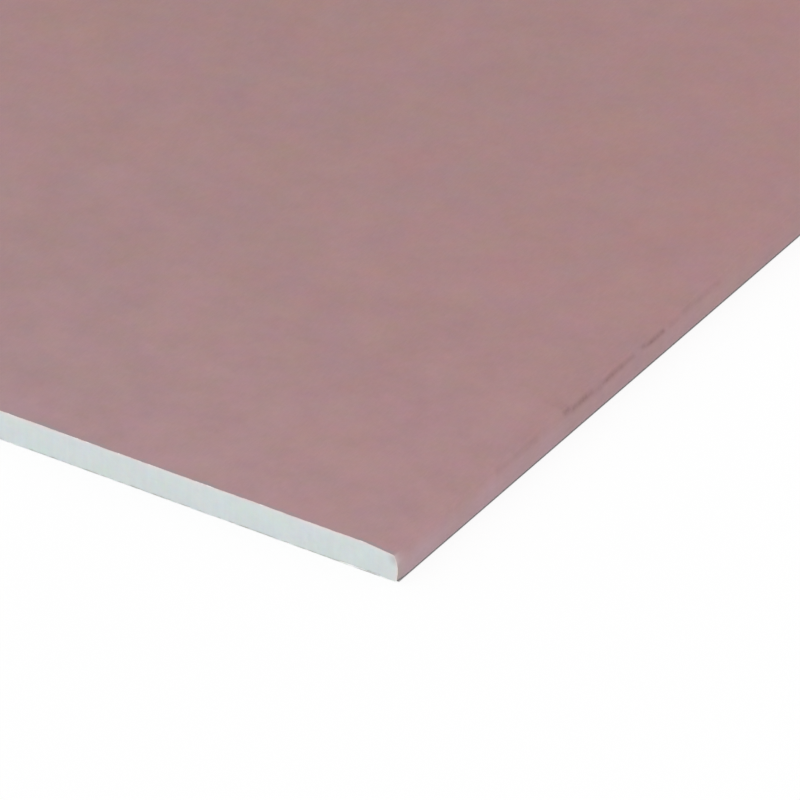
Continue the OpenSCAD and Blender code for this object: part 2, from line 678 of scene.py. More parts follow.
@dataclass(frozen=True, kw_only=True)
class FacePaperFinish(PaperFinish):
    """Pink paper, faintly mottled, paler by the cut ends and on the sides, partly from dust and partly from
    painted light and sheen, and darker where it is rubbed.
    """

    half_width: float
    name: str = "pink face paper"
    base: Colour = paint(166.9, 131.1, 130.5)
    swing: Triple = (0.34, 0.34, 0.5)
    clouds: float = 45.0
    fibres: float = 1600.0
    fibre_stretch: float = 7.0
    fibre_tone: Ramp = Ramp(0.25, 0.75, 0.965, 1.035)
    drift: float = 0.006
    roughness: Ramp = Ramp(0.2, 0.8, 0.96, 0.86)
    relief: float = 0.03 * MM
    # The face is a little colder in the middle than by the long edges
    middle_tint: Colour = (0.985, 1.004, 1.0, 1.0)
    edge_tint: Colour = (1.022, 1.0, 1.0, 1.0)
    by_edge: Ramp = Ramp(180 * MM, 20 * MM)
    # Heights at which a long edge turns from the face into its upper edge, and on into its side
    on_side: Ramp = Ramp(12 * MM, 4 * MM)
    below_face: Ramp = Ramp(11.6 * MM, 10.8 * MM)
    above_side: Ramp = Ramp(6 * MM, 9 * MM)
    # The sides are paler and colder, partly dust and partly painted sheen, and paler still towards the foot
    side_dust_and_sheen: Colour = paint(172, 166, 168)
    side_dust_and_sheen_share: float = 0.12
    foot_pale_share: Ramp = Ramp(3.2 * MM, 1.0 * MM, 0.0, 0.18)
    # A pale blue wash that thins out from each cut end, stronger on the sides by the cut: partly dust and
    # partly painted light
    dust_and_light: Colour = paint(228, 223, 251)
    dust_and_light_reach: float = 150 * MM
    dust_and_light_amount: float = 0.056
    dust_and_light_by_cut: float = 0.03
    grime: Colour = paint(160, 163, 143)
    grime_share: float = 0.5
    grime_falloff: float = 2.0
    lip: Colour = paint(146, 146, 149)
    lip_width: float = 1.6 * MM
    lip_share: Ramp = Ramp(0.0, 1.0, 0.6, 0.0)
    # The upper edge is paler right by each cut end
    upper_edge_pale: Colour = paint(220, 214, 217)
    upper_edge_pale_share: float = 0.42
    upper_edge_pale_falloff: float = 3.0
    rub: Colour = paint(118, 88, 88)
    rub_grain: Patches = Patches(Pattern(900.0), Ramp(0.3, 0.7, 0.6, 1.0))

    def draw(self, sketch: NodeSketch) -> None:
        """Lays tints, a pale wash of dust and painted light, grime, the lip of the cut and rubs over the
        clean paper.

        Args:
            sketch: The material's tree.
        """
        place = sketch.place()
        axes = sketch.axes(place)
        colour, fibre = self.paper(sketch, place)
        inward = sketch.math("SUBTRACT", self.half_width, sketch.math("ABSOLUTE", axes["X"]))
        by_edge = sketch.span(inward, self.by_edge)
        colour = sketch.tint(colour, sketch.blend(by_edge, self.middle_tint, self.edge_tint))
        on_side = sketch.span(axes["Z"], self.on_side)
        on_foot = sketch.span(axes["Z"], self.foot_pale_share)
        # Paler and colder on the sides, partly dust and partly painted sheen, and paler still towards the
        # foot
        side_paling = sketch.plus(sketch.times(on_side, self.side_dust_and_sheen_share), on_foot)
        colour = sketch.blend(side_paling, colour, self.side_dust_and_sheen)
        cut = {"half_length": self.half_length, "lip": self.lip_width}
        # Paler and bluer towards each cut end, more so on the sides: partly dust and partly painted light
        near_cut = DUST_AND_LIGHT.put(sketch, place, reach=self.dust_and_light_reach, amount=self.dust_and_light_amount, **cut)
        by_cut = sketch.plus(near_cut["DustAndLight"], sketch.times(near_cut["Near"], self.dust_and_light_by_cut))
        end_paling = sketch.plus(near_cut["DustAndLight"], sketch.times(by_cut, on_side))
        colour = sketch.blend(end_paling, colour, self.dust_and_light)
        grimy = sketch.times(sketch.math("POWER", near_cut["Near"], self.grime_falloff), on_side)
        colour = sketch.blend(sketch.times(grimy, self.grime_share), colour, self.grime)
        above_side = sketch.span(axes["Z"], self.above_side)
        on_upper_edge = sketch.times(sketch.span(axes["Z"], self.below_face), above_side)
        lip = sketch.times(near_cut["Lip"], sketch.span(on_side, self.lip_share))
        lip = sketch.times(lip, sketch.math("SUBTRACT", 1.0, on_upper_edge))
        colour = sketch.blend(lip, colour, self.lip)
        # The upper edge goes paler right by the cut
        paled_upper_edge = sketch.times(sketch.math("POWER", near_cut["Near"], self.upper_edge_pale_falloff), on_upper_edge)
        colour = sketch.blend(sketch.times(paled_upper_edge, self.upper_edge_pale_share), colour, self.upper_edge_pale)
        rubbed = sketch.times(sketch.marked("rub"), sketch.patches(place, self.rub_grain), clamp=True)
        self.close(sketch, sketch.blend(rubbed, colour, self.rub), fibre)


@dataclass(frozen=True, kw_only=True)
class BackPaperFinish(PaperFinish):
    """Grey-brown liner of re-used fibre, flecked and faintly mottled."""

    name: str = "grey back paper"
    base: Colour = paint(160, 148, 130)
    swing: Triple = (0.3, 0.3, 0.36)
    clouds: float = 25.0
    fibres: float = 1100.0
    fibre_stretch: float = 5.0
    fibre_tone: Ramp = Ramp(0.25, 0.75, 0.92, 1.08)
    drift: float = 0.02
    roughness: Ramp = Ramp(0.2, 0.8, 0.97, 0.88)
    relief: float = 0.04 * MM
    # On the back paper the pale wash by the cut ends is dust alone
    dust_and_light: Colour = paint(238, 236, 236)
    dust_and_light_reach: float = 100 * MM
    dust_and_light_amount: float = 0.05
    fleck: Colour = paint(112, 99, 84)
    flecks: Patches = Patches(Pattern(420.0, 2.0, 0.7), Ramp(0.66, 0.76, 0.0, 0.5))

    def draw(self, sketch: NodeSketch) -> None:
        """Lays flecks and dust over the clean paper.

        Args:
            sketch: The material's tree.
        """
        place = sketch.place()
        colour, fibre = self.paper(sketch, place)
        colour = sketch.blend(sketch.patches(place, self.flecks), colour, self.fleck)
        cut = {"half_length": self.half_length, "reach": self.dust_and_light_reach}
        near_cut = DUST_AND_LIGHT.put(sketch, place, amount=self.dust_and_light_amount, **cut)
        self.close(sketch, sketch.blend(near_cut["DustAndLight"], colour, self.dust_and_light), fibre)


@dataclass(frozen=True)
class CutPaperFinish(Finish):
    """The pale inner plies of a paper, torn to white fibre in places, which show where it is cut."""

    name: str
    base: Colour
    # Colour of the plies by the floor; for the face paper it is paler and colder, partly painted light that
    # lifts the shaded cut of the fold
    foot: Colour
    by_floor: Ramp = Ramp(1.4 * MM, 0.8 * MM)
    swing: Triple = (0.4, 0.45, 0.45)
    clouds: float = 200.0
    torn: Colour = paint(253, 251, 251)
    torn_patches: Patches = Patches(Pattern(220.0), Ramp(0.54, 0.64, 0.0, 0.75))
    fibres: float = 2500.0
    fibre_stretch: float = 0.4
    roughness: Ramp = Ramp(0.2, 0.8, 0.98, 0.9)
    relief: float = 0.03 * MM

    def draw(self, sketch: NodeSketch) -> None:
        """Draws mottled plies with torn patches, in another colour by the floor, which for the face paper is
        partly painted light.

        Args:
            sketch: The material's tree.
        """
        place = sketch.place()
        by_floor = sketch.span(sketch.axes(place)["Z"], self.by_floor)
        base = sketch.blend(by_floor, self.base, self.foot)
        clouds = MOTTLE.put(sketch, place, scale=self.clouds, base=base, swing=self.swing)
        colour = sketch.blend(sketch.patches(place, self.torn_patches), clouds["Colour"], self.torn)
        fibre = FIBRE.put(sketch, place, scale=self.fibres, stretch=self.fibre_stretch)
        roughness = sketch.span(fibre["Tone"], self.roughness)
        sketch.dull_surface(colour, roughness, fibre["Height"], self.relief)


@dataclass(frozen=True)
class GypsumFinish(Finish):
    """Cut gypsum: pale, with a cold cast, upright streaks of the cut and a fine grain."""

    name: str = "cut gypsum"
    base: Colour = paint(213.2, 220.8, 221.3)
    swing: Triple = (0.3, 0.25, 0.3)
    clouds: float = 120.0
    upright: Triple = (1.0, 1.0, 0.08)
    streaks: Patches = Patches(Pattern(420.0), Ramp(0.25, 0.75, 0.985, 1.015))
    rim: Colour = paint(238, 224, 223)
    rim_share: float = 0.8
    smudge: Colour = paint(172, 152, 152)
    smudge_share: float = 0.4
    grain: Pattern = Pattern(2600.0, 3.0, 0.7)
    roughness: Ramp = Ramp(0.2, 0.8, 0.99, 0.92)
    relief: float = 0.06 * MM

    def draw(self, sketch: NodeSketch) -> None:
        """Lays the warm rim and the smudge over streaked gypsum.

        Args:
            sketch: The material's tree.
        """
        place = sketch.place()
        clouds = MOTTLE.put(sketch, place, scale=self.clouds, base=self.base, swing=self.swing)
        drawn_out = sketch.vector("MULTIPLY", place, self.upright)
        colour = sketch.tint(clouds["Colour"], sketch.patches(drawn_out, self.streaks))
        colour = sketch.blend(sketch.times(sketch.marked("rim"), self.rim_share), colour, self.rim)
        smudge = sketch.times(sketch.marked("smudge"), self.smudge_share)
        colour = sketch.blend(smudge, colour, self.smudge)
        grain = sketch.noise(place, self.grain)[0]
        sketch.dull_surface(colour, sketch.span(grain, self.roughness), grain, self.relief)


@dataclass(frozen=True)
class FloorFinish(Finish):
    """A floor that may glow a little, keeps the sheet's shadow and isn't there for a view from below."""

    name: str
    colour: Colour
    glow: float = 0.0
    shown_glow: float = 0.0

    def draw(self, sketch: NodeSketch) -> None:
        """Draws a dull floor with one glow where it lights others and another where it is seen.

        Args:
            sketch: The material's tree.
        """
        glow = sketch.add("ShaderNodeEmission", {"Color": self.colour, "Strength": 1.0}).outputs[0]
        dull = sketch.add("ShaderNodeBsdfDiffuse", {"Color": self.colour}).outputs[0]
        unseen = sketch.mix(self.glow, dull, glow)
        shown = sketch.mix(self.shown_glow, dull, glow)
        top = sketch.mix(sketch.seen_ray(), unseen, shown)
        clear = sketch.add("ShaderNodeBsdfTransparent").outputs[0]
        behind = sketch.add("ShaderNodeNewGeometry").outputs["Backfacing"]
        came_through = sketch.add("ShaderNodeLightPath").outputs["Transparent Depth"]
        from_below = sketch.math("ADD", behind, came_through, clamp=True)
        sketch.add("ShaderNodeOutputMaterial", {"Surface": sketch.mix(from_below, top, clear)})


@dataclass(frozen=True)
class Sheet:
    """Sizes of the whole sheet, in metres."""

    half_width: float
    half_length: float
    top: float
    face_paper: float
    back_paper: float
    back_half_width: float

    @classmethod
    def from_frame(cls) -> "Sheet":
        """Reads the sizes off the boxes of the three solids.

        Returns:
            The sheet's sizes.
        """
        _, face_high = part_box("face_paper")
        _, core_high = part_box("gypsum_core")
        back_low, back_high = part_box("back_paper")
        return cls(
            half_width=face_high.x,
            half_length=face_high.y,
            top=face_high.z,
            face_paper=face_high.z - core_high.z,
            back_paper=back_high.z - back_low.z,
            back_half_width=back_high.x,
        )

    def even_rows(self, spacing: float) -> np.ndarray:
        """Lists the Y of evenly spaced rows of points, between those that lie by the two ends."""
        reach = self.half_length - END_ROWS[-1]
        return np.arange(-reach + spacing, reach - spacing / 2, spacing)

    def all_rows(self, between: np.ndarray) -> np.ndarray:
        """Lists the Y of each row of points: those by the front end, those between, and those by the rear."""
        front = -self.half_length + END_ROWS
        return np.concatenate([front, between, -front[::-1]])


@dataclass(frozen=True)
class Arc:
    """One arc of a section, with its angles taken from straight up, out to the side and down."""

    centre: np.ndarray
    radius: float
    first: float
    last: float
    steps: int

    def ways(self) -> np.ndarray:
        """Gives the way out at each of its points, as rows of X and Z."""
        angles = np.linspace(self.first, self.last, self.steps + 1)
        return np.stack([np.sin(angles), np.cos(angles)], axis=-1)

    def points(self) -> np.ndarray:
        """Gives its points, as rows of X and Z."""
        return self.centre + self.radius * self.ways()


@dataclass(frozen=True)
class LongEdge:
    """Section of a wrapped long edge: a soft bevel, a tight upper edge, a bowed side and a small foot."""

    sheet: Sheet
    bevel_width: float = 12.5 * MM
    bevel_depth: float = 1.3 * MM
    bend_radius: float = 25 * MM
    bend_steps: int = 6
    arris_radius: float = 1.3 * MM
    arris_steps: int = 12
    bow_radius: float = 17 * MM
    bow_lean: float = math.radians(23)
    bow_steps: int = 16
    foot_radius: float = 0.9 * MM
    foot_steps: int = 10
    fold_width: float = 25 * MM

    @property
    def fold_x(self) -> float:
        """Where the paper that is folded in under the back ends."""
        return self.sheet.half_width - self.fold_width

    def arcs(self) -> list[Arc]:
        """Works out the arcs, from the flat face down to the back.

        Returns:
            The arcs, each with its centre as X and Z.
        """
        side, top = self.sheet.half_width, self.sheet.top
        slope = math.atan(self.bevel_depth / self.bevel_width)
        upright = math.pi / 2
        leaning = upright - self.bow_lean
        bend_x = side - self.bevel_width - self.bend_radius * math.tan(slope / 2)
        lean = np.array([math.cos(self.bow_lean), math.sin(self.bow_lean)])
        bow_to_arris = (self.bow_radius - self.arris_radius) * lean
        arris_x = side - self.bow_radius + bow_to_arris[0]
        slope_z = top - (arris_x - side + self.bevel_width) * math.tan(slope)
        arris = np.array([arris_x, slope_z - self.arris_radius / math.cos(slope)])
        foot = np.array([side - self.foot_radius, self.sheet.back_paper + self.foot_radius])
        bend = np.array([bend_x, top - self.bend_radius])
        return [
            Arc(bend, self.bend_radius, 0.0, slope, self.bend_steps),
            Arc(arris, self.arris_radius, slope, leaning, self.arris_steps),
            Arc(arris - bow_to_arris, self.bow_radius, leaning, upright, self.bow_steps),
            Arc(foot, self.foot_radius, upright, math.pi, self.foot_steps),
        ]

    def line_and_ways(self) -> tuple[np.ndarray, np.ndarray]:
        """Gives the outer line from the flat face down to the back, and the way out at each point.

        Returns:
            The points and the ways out, each as rows of X and Z.
        """
        arcs = self.arcs()
        points = np.concatenate([arc.points() for arc in arcs])
        ways = np.concatenate([arc.ways() for arc in arcs])
        apart = np.abs(np.diff(points, axis=0)).max(axis=1) > SAME_POINT
        kept = np.append(True, apart)
        return points[kept], ways[kept]

    def line(self, depth: float) -> np.ndarray:
        """Gives the line a given depth inside the paper's outer surface, as rows of X and Z."""
        points, ways = self.line_and_ways()
        return points - depth * ways


@dataclass(frozen=True)
class BumpedCorner:
    """The foot of the near corner, knocked in from the side and bent down to the floor."""

    sheet: Sheet
    length: float = 6 * MM
    push: float = 0.9 * MM
    push_reach: float = 4 * MM
    push_height: float = 7 * MM
    drop: float = 0.3 * MM
    drop_fade: float = 1.5 * MM
    drop_height: float = 3 * MM

    def bend(self, points: np.ndarray) -> np.ndarray:
        """Moves the points that lie by the corner.

        Args:
            points: Places in metres, as rows of X, Y and Z.

        Returns:
            The places after the knock.
        """
        x, y, z = points.T
        inward = self.sheet.half_width - x
        in_bare_strip = x - self.sheet.back_half_width
        by_cut = ease(1 - (y + self.sheet.half_length) / self.length)
        by_floor = np.clip(1 - z / self.push_height, 0, 1) ** 2
        pushed = by_cut * by_floor * ease(1 - inward / self.push_reach)
        hanging = by_cut * ease(1 - z / self.drop_height) * ease(in_bare_strip / self.drop_fade)
        return points - np.stack([self.push * pushed, np.zeros_like(y), self.drop * hanging], axis=-1)


@dataclass
class FrayedCut:
    """How far the cut end of a paper stands out past the sheet's end, at each place along it."""

    seed: int
    reach: float
    wave: float = 0.08 * MM
    wave_spacing: float = 9 * MM
    fray: float = 0.1 * MM
    fray_spacing: float = 1.7 * MM
    lines: list[Wander] = field(init=False)

    def __post_init__(self) -> None:
        """Draws the slow wave and the fine fray."""
        slow = Wander(self.seed, self.wave_spacing, self.reach)
        self.lines = [slow, Wander(self.seed + 1, self.fray_spacing, self.reach)]

    def __call__(self, along: np.ndarray) -> np.ndarray:
        """Gives the overhang in metres at each place along the cut."""
        slow, fine = self.lines
        return self.wave * slow(along) + self.fray * fine(along)

    @classmethod
    def both_ends(cls, seed: int, reach: float) -> dict[End, "FrayedCut"]:
        """Draws the cuts at the two ends of a paper."""
        return {end: cls(seed + END_SEED_STEP * end.value, reach) for end in End}


@dataclass(frozen=True)
class Rub:
    """A dark rubbed dash on a long edge, by its distance from the front end and its height."""

    start: float
    end: float
    height: float
    strength: float
    half_width: float
    soft_end: float = 3 * MM

    def share(self, along: np.ndarray, height: np.ndarray) -> np.ndarray:
        """Gives how much each point is rubbed.

        Args:
            along: Distance of each point from the front end, in metres.
            height: Height of each point, in metres.

        Returns:
            Shares from 0 to 1.
        """
        # Each end lies half-way along its own soft stretch
        begun = ease((along - self.start) / self.soft_end + 0.5)
        ended = ease((self.end - along) / self.soft_end + 0.5)
        across = np.exp(-(((height - self.height) / self.half_width) ** 2))
        return self.strength * begun * ended * across


@dataclass
class PaperSurface:
    """Numbers of the points along the two ends and up the two sides of one surface of a paper."""

    ends: dict[End, np.ndarray]
    sides: list[np.ndarray]

    def close(self, sketch: MeshSketch, other: "PaperSurface") -> None:
        """Joins it to the paper's other surface all round.

        Args:
            sketch: The piece.
            other: The other surface.
        """
        for end in End:
            sketch.grid(np.stack([self.ends[end], other.ends[end]]), Ply.CUT)
        for side, other_side in zip(self.sides, other.sides):
            sketch.grid(np.stack([side, other_side]), Ply.CUT)


def flat_field(
    sketch: MeshSketch,
    left: np.ndarray,
    right: np.ndarray,
    cuts: dict[End, FrayedCut],
) -> dict[End, np.ndarray]:
    """Lays a level paper between two columns of points, fine along both ends and coarse between them.

    Args:
        sketch: The piece that it is part of.
        left: Numbers of the points up its left side, from the front end to the rear.
        right: Numbers of the points up its right side.
        cuts: How far each end stands out.

    Returns:
        Numbers of the points along each end, from left to right.
    """
    ends, inner_rows = {}, {}
    for end in End:
        lefts, rights = left[:: -end.value], right[:: -end.value]
        columns = END_COLUMNS
        earlier = None
        for row in range(len(END_ROWS)):
            if row >= FINE_END_ROWS:
                columns //= 2
            first, last = sketch.points[lefts[row]], sketch.points[rights[row]]
            points = first + (last - first) * np.linspace(0, 1, columns + 1)[1:-1, None]
            if row == 0:
                level = sketch.points[lefts[1]]
                points[:, 1] = level[1] + end.value * (END_ROWS[1] + cuts[end](points[:, 0]))
                points[:, 2] = level[2]
            ids = np.concatenate([lefts[row : row + 1], sketch.add(points), rights[row : row + 1]])
            if earlier is None:
                ends[end] = ids
            elif len(ids) == len(earlier):
                sketch.grid(np.stack([earlier, ids]))
            else:
                sketch.halve(earlier, ids)
            earlier = ids
        inner_rows[end] = earlier
    between = slice(len(END_ROWS), -len(END_ROWS))
    outline = [inner_rows[End.FRONT], right[between], inner_rows[End.REAR][::-1], left[between][::-1]]
    sketch.fill(np.concatenate(outline), FIELD_SPACING)
    return ends


@dataclass
class FacePaper:
    """The pink paper: over the face, round both long edges and folded in under the back."""

    sheet: Sheet
    edge: LongEdge
    corner: BumpedCorner
    finish: FacePaperFinish
    cut_finish: CutPaperFinish
    side_spacing: float = 120 * MM
    fold_columns: int = 16
    # The most that the paper runs on, past the sheet's half width, round an edge and in under the back
    wrap_reach: float = 50 * MM
    # Start, end and height of each rubbed dash, how dark it is, and half its width
    rubs: tuple[Rub, ...] = (
        Rub(66 * MM, 94 * MM, 9.7 * MM, 0.19, 1.2 * MM),
        Rub(111 * MM, 116 * MM, 9.9 * MM, 0.55, 1.4 * MM),
        Rub(116 * MM, 131 * MM, 9.2 * MM, 0.72, 1.2 * MM),
        Rub(131 * MM, 136 * MM, 8.9 * MM, 0.40, 1.2 * MM),
        Rub(136 * MM, 151 * MM, 9.2 * MM, 0.65, 1.0 * MM),
        Rub(150 * MM, 158 * MM, 9.2 * MM, 0.35, 0.9 * MM),
        Rub(163 * MM, 166 * MM, 9.7 * MM, 0.45, 0.9 * MM),
        Rub(166 * MM, 178 * MM, 9.2 * MM, 0.80, 0.85 * MM),
        Rub(181 * MM, 187 * MM, 9.2 * MM, 0.30, 1.0 * MM),
        Rub(190 * MM, 216 * MM, 9.4 * MM, 0.22, 1.3 * MM),
    )
    rub_dent: float = 0.12 * MM
    rub_wear: float = 0.25
    rub_wear_spacing: float = 2.5 * MM
    rub_stray: float = 0.25 * MM
    rub_stray_spacing: float = 5 * MM
    # How far in from the side the dashes are painted
    rub_inset: float = 3 * MM
    # Close rows of points run this far past the dashes, and the even rows keep clear of them
    rub_margin: float = 10 * MM
    rub_spacing: float = 1.0 * MM
    rub_clearance: float = 30 * MM

    def rubbed(self, along: np.ndarray, height: np.ndarray) -> np.ndarray:
        """Gives how much the right-hand edge is rubbed at each point.

        Args:
            along: Distance of each point from the front end, in metres.
            height: Height of each point, in metres.

        Returns:
            Shares from 0 to 1.
        """
        length = 2 * self.sheet.half_length
        worn = 1 - self.rub_wear + self.rub_wear * Wander(Seed.WEAR, self.rub_wear_spacing, length)(along)
        strayed = height + self.rub_stray * Wander(Seed.STRAY, self.rub_stray_spacing, length)(along)
        return worn * np.maximum.reduce([rub.share(along, strayed) for rub in self.rubs])

    def rub_at(self, places: np.ndarray) -> np.ndarray:
        """Gives how much the paper is rubbed at each place.

        Args:
            places: Places in metres, as rows of X, Y and Z.

        Returns:
            Shares from 0 to 1.
        """
        x, y, z = places.T
        on_edge = x > self.sheet.half_width - self.rub_inset
        return np.where(on_edge, self.rubbed(y + self.sheet.half_length, z), 0.0)

    def side_rows(self, side: Side) -> np.ndarray:
        """Lists the Y of each row of points along a long edge, close together where it is rubbed.

        Args:
            side: The long edge.

        Returns:
            The rows, from the front end to the rear.
        """
        between = self.sheet.even_rows(self.side_spacing)
        if side is Side.RIGHT:
            first = self.rubs[0].start - self.sheet.half_length - self.rub_margin
            last = self.rubs[-1].end - self.sheet.half_length + self.rub_margin
            apart = (between < first - self.rub_clearance) | (between > last + self.rub_clearance)
            between = np.union1d(between[apart], np.arange(first, last, self.rub_spacing))
        return self.sheet.all_rows(between)

    def wrap(self, sketch: MeshSketch, side: Side, depth: float, cuts: dict[End, FrayedCut]) -> np.ndarray:
        """Lays one surface of the paper round a long edge and in under the back.

        Args:
            sketch: The piece.
            side: The long edge.
            depth: How far inside the outer surface it lies, in metres.
            cuts: How far each end stands out.

        Returns:
            Numbers of the points: rows from the front end to the rear, columns from the face to the fold.
        """
        line, ways = self.edge.line_and_ways()
        foot_x, foot_z = line[-1]
        fold = np.linspace(foot_x, self.edge.fold_x, self.fold_columns + 1)[1:]
        line = np.concatenate([line, np.stack([fold, np.full(len(fold), foot_z)], axis=-1)])
        ways = np.concatenate([ways, np.repeat(ways[-1:], len(fold), axis=0)])
        steps = np.linalg.norm(np.diff(line, axis=0), axis=1)
        along_line = line[0, 0] + np.append(0.0, np.cumsum(steps))
        y = np.repeat(self.side_rows(side)[:, None], len(line), axis=1)
        for end in End:
            y[end.row] += end.value * cuts[end](side.value * along_line)
        sunk = np.full(y.shape, depth)
        if side is Side.RIGHT and depth == 0:
            sunk += self.rub_dent * self.rubbed(y + self.sheet.half_length, line[None, :, 1])
        section = line[None] - sunk[..., None] * ways[None]
        return sketch.add(np.stack([side.value * section[..., 0], y, section[..., 1]], axis=-1))

    def surface(self, sketch: MeshSketch, depth: float, seed: Seed) -> PaperSurface:
        """Lays one whole surface of the paper, from fold to fold.

        Args:
            sketch: The piece.
            depth: How far inside the outer surface it lies, in metres.
            seed: Number that picks its frayed ends.

        Returns:
            Its points along each end, and up each fold's edge.
        """
        cuts = FrayedCut.both_ends(seed, self.sheet.half_width + self.wrap_reach)
        left, right = [self.wrap(sketch, side, depth, cuts) for side in Side]
        for strip in (left, right):
            sketch.grid(strip)
        face_ends = flat_field(sketch, left[:, 0], right[:, 0], cuts)
        ends = {}
        for end in End:
            ends[end] = np.concatenate([left[end.row, :0:-1], face_ends[end], right[end.row, 1:]])
        return PaperSurface(ends, [left[:, -1], right[:, -1]])

    def build(self) -> bpy.types.Object:
        """Makes the paper as one closed skin.

        Returns:
            The piece.
        """
        sketch = MeshSketch()
        outside = self.surface(sketch, 0.0, Seed.FACE_OUTSIDE)
        inside = self.surface(sketch, self.sheet.face_paper, Seed.FACE_INSIDE)
        outside.close(sketch, inside)
        sketch.points = self.corner.bend(sketch.points)
        piece = sketch.piece("board_face_paper", [self.finish, self.cut_finish])
        mark(piece, "rub", self.rub_at)
        return piece


@dataclass
class GypsumCore:
    """The cast core, which shows at both cut ends."""

    sheet: Sheet
    edge: LongEdge
    corner: BumpedCorner
    finish: GypsumFinish
    spacing: float = 0.62 * MM
    rows: int = 19
    # The foot of the section steps up to the fold over this width
    fold_ramp: float = 0.25 * MM
    # Columns of points that lie closer than this are one
    least_gap: float = 0.008 * MM
    recess: float = 0.1 * MM
    streak: float = 0.05 * MM
    streak_spacing: float = 1.4 * MM
    streak_lean: float = 0.06
    broad_streak_spacing: float = 6 * MM
    grain: float = 0.025 * MM
    pits: int = 420
    pit_radius: tuple[float, float] = (0.5 * MM, 1.1 * MM)
    pit_share: float = 0.28
    rim_width: float = 2.4 * MM
    rim_strength: float = 0.95
    rim_swing: float = 0.35
    rim_spacing: float = 5 * MM
    smudge_inset: float = 1.4 * MM
    smudge_height: float = 9.6 * MM
    smudge_radius: float = 4 * MM

    @cached_property
    def columns(self) -> tuple[np.ndarray, np.ndarray, np.ndarray]:
        """Upright columns that divide the section, closest where its outline turns.

        Returns:
            Each column's X, and the Z of its foot and of its head.
        """
        line = self.edge.line(self.sheet.face_paper)
        widest = int(np.argmax(line[:, 0]))
        head_line = line[: widest + 1]
        wall_foot = int(np.nonzero(line[:, 0] > line[widest, 0] - SAME_POINT)[0][-1])
        foot_line = line[wall_foot:][::-1]
        fold, fold_top, back = self.edge.fold_x, foot_line[0, 1], self.sheet.back_paper
        foot_x = np.concatenate([[0.0, fold - self.fold_ramp, fold], foot_line[:, 0]])
        foot_z = np.concatenate([[back, back, fold_top], foot_line[:, 1]])
        head_x = np.append(0.0, head_line[:, 0])
        head_z = np.append(head_line[0, 1], head_line[:, 1])
        _, arris, _, _ = self.edge.arcs()
        even = np.arange(0.0, arris.centre[0], self.spacing)
        half = np.union1d(even, np.concatenate([foot_x, head_x]))
        half = half[np.append(True, np.diff(half) > self.least_gap)]
        x = np.concatenate([-half[:0:-1], half])
        return x, np.interp(np.abs(x), foot_x, foot_z), np.interp(np.abs(x), head_x, head_z)

    def relief(self, end: End, x: np.ndarray, z: np.ndarray) -> np.ndarray:
        """Works out how far the cut stands in from the sheet's end: streaks, grain and small pits.

        Args:
            end: The cut end.
            x: X of each point, in rows and columns.
            z: Z of each point.

        Returns:
            Depths in metres.
        """
        chance = np.random.default_rng(Seed.STREAK + end.value)
        reach = self.sheet.half_width
        streaks = Wander(Seed.STREAK + end.value, self.streak_spacing, reach)(x + self.streak_lean * z)
        broad_streaks = Wander(Seed.BROAD_STREAK + end.value, self.broad_streak_spacing, reach)(x)
        depth = self.streak * (streaks + broad_streaks)
        lattice = np.arange(-reach, reach + self.spacing, self.spacing)
        grains = chance.normal(size=(len(x), len(lattice)))
        depth += self.grain * np.stack([np.interp(row, lattice, heights) for row, heights in zip(x, grains)])
        low, high = self.pit_radius
        for _ in range(self.pits):
            centre_x = chance.uniform(-reach, reach)
            centre_z = chance.uniform(self.sheet.back_paper + high, self.sheet.top - 2 * high)
            radius = chance.uniform(low, high)
            near = np.abs(x[0] - centre_x) < radius
            apart = np.hypot(x[:, near] - centre_x, z[:, near] - centre_z) / radius
            depth[:, near] += self.pit_share * radius * ease(1 - apart)
        return depth + self.recess

    def rim_at(self, places: np.ndarray) -> np.ndarray:
        """Gives how close each place lies to the face paper, in uneven patches along it.

        Args:
            places: Places in metres, as rows of X, Y and Z.

        Returns:
            Shares from 0 to 1.
        """
        x, _, z = places.T
        across, _, head = self.columns
        inward = np.minimum(np.interp(x, across, head) - z, across[-1] - np.abs(x))
        wander = Wander(Seed.RIM, self.rim_spacing, self.sheet.half_width)
        patches = self.rim_strength + self.rim_swing * wander(x)
        return np.clip(patches * np.clip(1 - inward / self.rim_width, 0, 1) ** 2, 0, 1)

    def smudge_at(self, places: np.ndarray) -> np.ndarray:
        """Gives how much each place is smudged, by the upper edge of the near corner.

        Args:
            places: Places in metres, as rows of X, Y and Z.

        Returns:
            Shares from 0 to 1.
        """
        x, y, z = places.T
        apart = np.hypot(self.sheet.half_width - self.smudge_inset - x, self.smudge_height - z)
        return np.where(y < 0, ease(1 - apart / self.smudge_radius), 0.0)

    def build(self) -> bpy.types.Object:
        """Makes the core as one closed solid.

        Returns:
            The piece.
        """
        sketch = MeshSketch()
        across, foot, head = self.columns
        share = np.linspace(0, 1, self.rows + 1)[:, None]
        z = foot + (head - foot) * share
        x = np.repeat(across[None], self.rows + 1, axis=0)
        rings = []
        for end in End:
            y = end.value * (self.sheet.half_length - self.relief(end, x, z))
            ids = sketch.add(np.stack([x, y, z], axis=-1))
            sketch.grid(ids)
            sides = [ids[0, :-1], ids[:-1, -1], ids[-1, :0:-1], ids[:0:-1, 0], ids[:1, 0]]
            rings.append(np.concatenate(sides))
        behind_corner = sketch.points[rings[0][:-1]]
        behind_corner[:, 1] = self.corner.length - self.sheet.half_length
        ring = sketch.add(behind_corner)
        rings.insert(1, np.append(ring, ring[0]))
        sketch.grid(np.stack(rings))
        sketch.points = self.corner.bend(sketch.points)
        piece = sketch.piece("board_core", [self.finish])
        mark(piece, "rim", self.rim_at)
        mark(piece, "smudge", self.smudge_at)
        return piece


